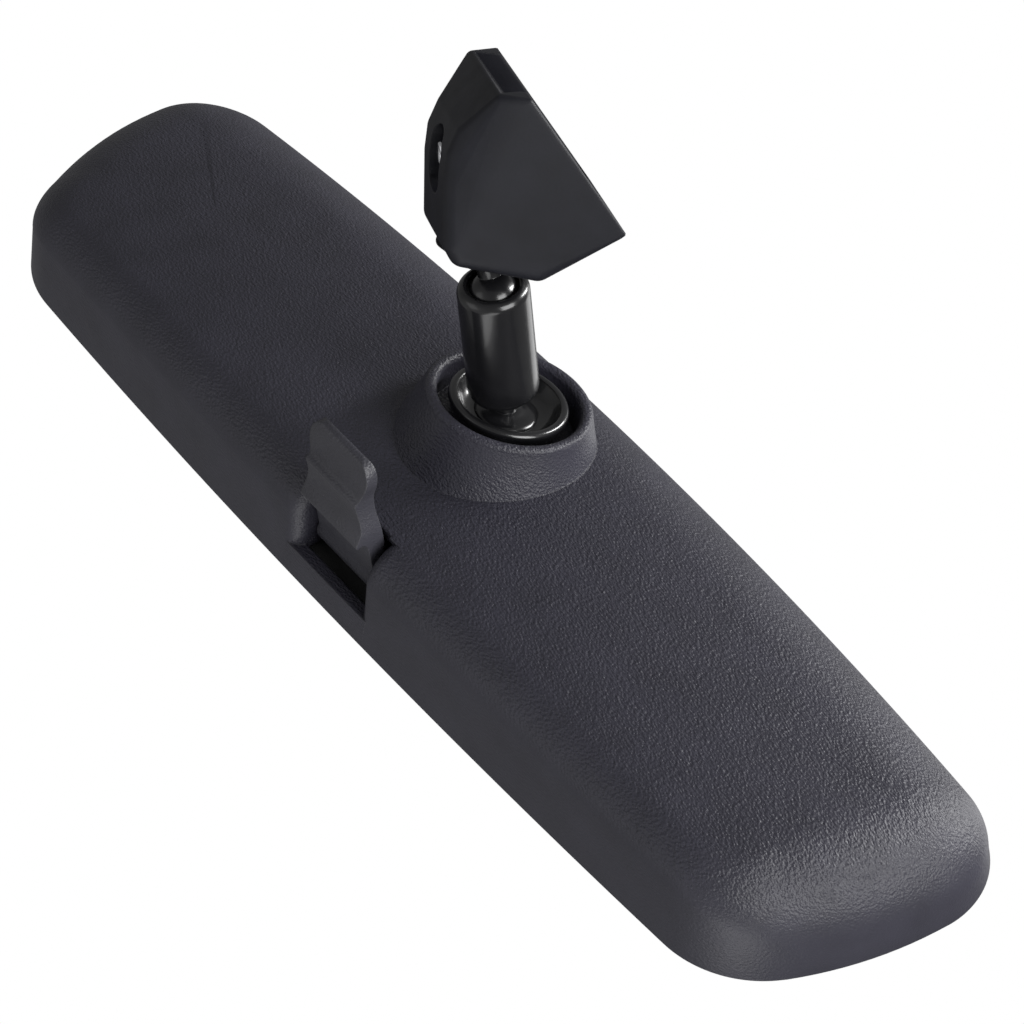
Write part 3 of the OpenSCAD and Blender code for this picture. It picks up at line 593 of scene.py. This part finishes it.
def in_hole(x, a, b):
    """Foot point that lies a along the oval hole and b into it."""
    return (x, hole_y + a * cos(hole_turn) - b * sin(hole_turn),
            hole_z + a * sin(hole_turn) + b * cos(hole_turn))


def retainer():
    wire_r = 0.55
    half = [in_hole(0, 2.6, 0.9), in_hole(0.9, 1.6, 1.2), in_hole(2, -1.6, 2.2),
            in_hole(2.6, -2, 4.5), in_hole(2.9, 0, 10), in_hole(3, 0.5, 14.5),
            (3.6, 5, -5.6), (6.8, 6.5, -5.2), (6.8, 11.3, -5.2)]
    path = [Vector(p) for p in spline([(-x, y, z) for x, y, z in reversed(half[1:])] + half, 8)]
    rings, up = [], Vector((0, 0, 1))
    for i, p in enumerate(path):
        d = (path[min(i + 1, len(path) - 1)] - path[max(i - 1, 0)]).normalized()
        up = (up - d * up.dot(d)).normalized()
        side = d.cross(up)
        rings.append([tuple(p + wire_r * (up * sin(a) + side * cos(a)))
                      for a in range(0, 360, 24)])
    return loft("retainer_wire", rings, FOOT)


finish_piece(retainer(), wire_mat, "foot", ["button_retainer_spring"], 50)

# ------------------------------------------------------------------ ball studs, arm and dish
ball_r, neck_r = 5, 2.2
neck_a = math.degrees(math.asin(neck_r / ball_r))
ball_profile = [(x, -y) for x, y in arc(0, 0, ball_r, 90, -90 + neck_a, 40)]
ball_profile[0] = (0, -ball_r)
stud_profile = ball_profile + [(neck_r, 6.1), (2.3, 6.4), (2.6, 6.7), (2.6, 15.1), (0, 15.1)]
finish_piece(lathe("foot_stud", stud_profile, STUD), gloss_mat, "foot",
             ["foot_ball_stud"])

tube_r, bore_r, end_over, end_round, lip_r = 6.7, 5.78, 3.4, 2.0, 5.62
mouth, mouth_r = 2.9, 4.78
z0, z1 = -end_over, arm_len + end_over
outer = (arc(tube_r - end_round, z0 + end_round, end_round, -72, 0, 14)
         + arc(tube_r - end_round, z1 - end_round, end_round, 0, 72, 14))
lip_low = [(5.24, z0 + 0.16), (4.95, z0 + 0.3), (mouth_r, -mouth)]
lip_top = [(mouth_r, arm_len + mouth), (4.95, z1 - 0.3), (5.24, z1 - 0.16)]
lip_a = math.degrees(math.asin(mouth_r / lip_r))
low_seat = [(lip_r * sin(a), -lip_r * cos(a)) for a in (lip_a, 65, 72, 79, 83.9)]
top_seat = [(x, arm_len - z) for x, z in reversed(low_seat)]
bore_wall = [(bore_r, -0.6), (bore_r, arm_len + 0.6)]
tube_outline = (outer + lip_top[::-1] + top_seat[::-1] + bore_wall[::-1]
                + low_seat[::-1] + lip_low[::-1])
finish_piece(lathe("tube", tube_outline, ARM), gloss_mat, "arm", ["arm_tube"])

axis = Vector((0, cos(collar_lean), sin(collar_lean)))
rim_mid = Vector((0, collar_y, collar_z)) - 0.1 * axis
hub_depth = 4
root = rim_mid - hub_depth * axis
neck = root - ball_in_head
NECK = HEAD @ Matrix.Translation(ball_in_head) @ neck.to_track_quat("Z", "X").to_matrix().to_4x4()


def head_stud():
    """Lower ball and neck with the hub, its seat for the dish and the hollow shank."""
    length = neck.length
    body = lathe("head_stud", ball_profile + [(neck_r, length), (0, length)], NECK)
    hub = [(0, -5.8), (5.99, -5.8), (5.99, -3.2), (5.8, -3.0), (5.3, -2.75), (4.2, -2.55),
           (3.1, -2.3), (2.6, -2.0), (0, -2.0)]
    seat = [(0, -5.4), (7.7, -5.4), (7.8, -5.2), (7.8, -4.5), (7.7, -4.4), (0, -4.4)]
    shank = [(2, 10.4), (4.7, 10.4), (5, 10.7), (5, 26.5), (0, 26.5), (0, 19.4), (2, 19.4)]
    shank_place = HEAD @ Matrix.Translation((0, 0, ball_in_head.z)) @ turn_x(-90)
    for name, profile, where in (("hub", hub, DISH), ("seat", seat, DISH),
                                 ("shank", shank, shank_place)):
        cut(body, lathe(name, profile, where), "UNION")
    return body


finish_piece(head_stud(), gloss_mat, "carrier", ["head_ball_stud"])
dish_profile = ([(6.0, -4.4), (6.0, -3.5), (6.6, -3.62), (7.4, -3.45), (8.2, -2.95), (9.0, -2.1),
                 (9.7, -1.0), (10.0, -0.55)]
                + arc(10.5, -1, 1, 130, 0, 12) + [(11.45, -1.3), (10.2, -4.4)])
finish_piece(lathe("dish", dish_profile, DISH), dish_mat, "carrier",
             ["stud_dish"], 40)

# ------------------------------------------------------------------ camera, light and floor
right_v = Vector((-0.60262, 0.00938, 0.79797))
down_v = Vector((-0.59077, -0.67748, -0.43819))
fwd = Vector((0.5365, -0.73548, 0.41381))
camera = bpy.data.objects.new("camera", bpy.data.cameras.new("camera"))
camera.data.sensor_width = 36
camera.data.lens = 152.72
camera.data.clip_start, camera.data.clip_end = 0.01, 20
camera_place = Matrix((right_v, -down_v, -fwd)).transposed().to_4x4()
camera_place.translation = (Vector((-442.95, 605.73, -332.91)) + head_at) * 0.001
camera.matrix_world = camera_place
scene.collection.objects.link(camera)
scene.camera = camera

target = ball_low * 0.001


def softbox(name, a, b, c, width, height, watts):
    """Area light placed to the camera's right by a, above by b and towards it by c."""
    data = bpy.data.lights.new(name, "AREA")
    data.shape, data.size, data.size_y, data.energy = "RECTANGLE", width, height, watts
    light = bpy.data.objects.new(name, data)
    light.location = target + a * right_v - b * down_v - c * fwd
    light.rotation_euler = (target - light.location).to_track_quat("-Z", "Y").to_euler()
    scene.collection.objects.link(light)


softbox("key", 0.42, -0.12, 0.55, 0.45, 0.45, 5.0)
softbox("back_glow", 0.75, 0.38, -0.05, 0.16, 0.5, 7)
softbox("right_strip", 0.6, 0.1, -0.6, 0.4, 0.6, 1.2)
softbox("left_fill", -0.7, -0.05, 0.35, 0.4, 0.5, 0.4)
softbox("low_fill", -0.1, -0.8, 0.2, 0.8, 0.4, 2.4)

# The world lights softly but shows as white behind the part.
world = bpy.data.worlds.new("studio")
scene.world = world
world.use_nodes = True
wn, wl = world.node_tree.nodes, world.node_tree.links
seen = wn.new("ShaderNodeLightPath")
strength = wn.new("ShaderNodeMapRange")
strength.inputs["To Min"].default_value, strength.inputs["To Max"].default_value = 0.24, 1.0
wl.new(seen.outputs["Is Camera Ray"], strength.inputs["Value"])
wn["Background"].inputs["Color"].default_value = (1, 1, 1, 1)
wl.new(strength.outputs["Result"], wn["Background"].inputs["Strength"])

floor_z, floor_half = -1100, 4000
corners = [(x * floor_half, y * floor_half) for x, y in ((-1, -1), (1, -1), (1, 1), (-1, 1))]
floor = loft("floor", [[(x, y, z) for x, y in corners] for z in (floor_z - 10, floor_z)])
floor.data.materials.append(material("floor_paint", (0.8, 0.8, 0.8), 0.7, shade_var=0.01,
                                     fine=(60, 0.05, 0.0002)))
scene.view_settings.view_transform = "Standard"
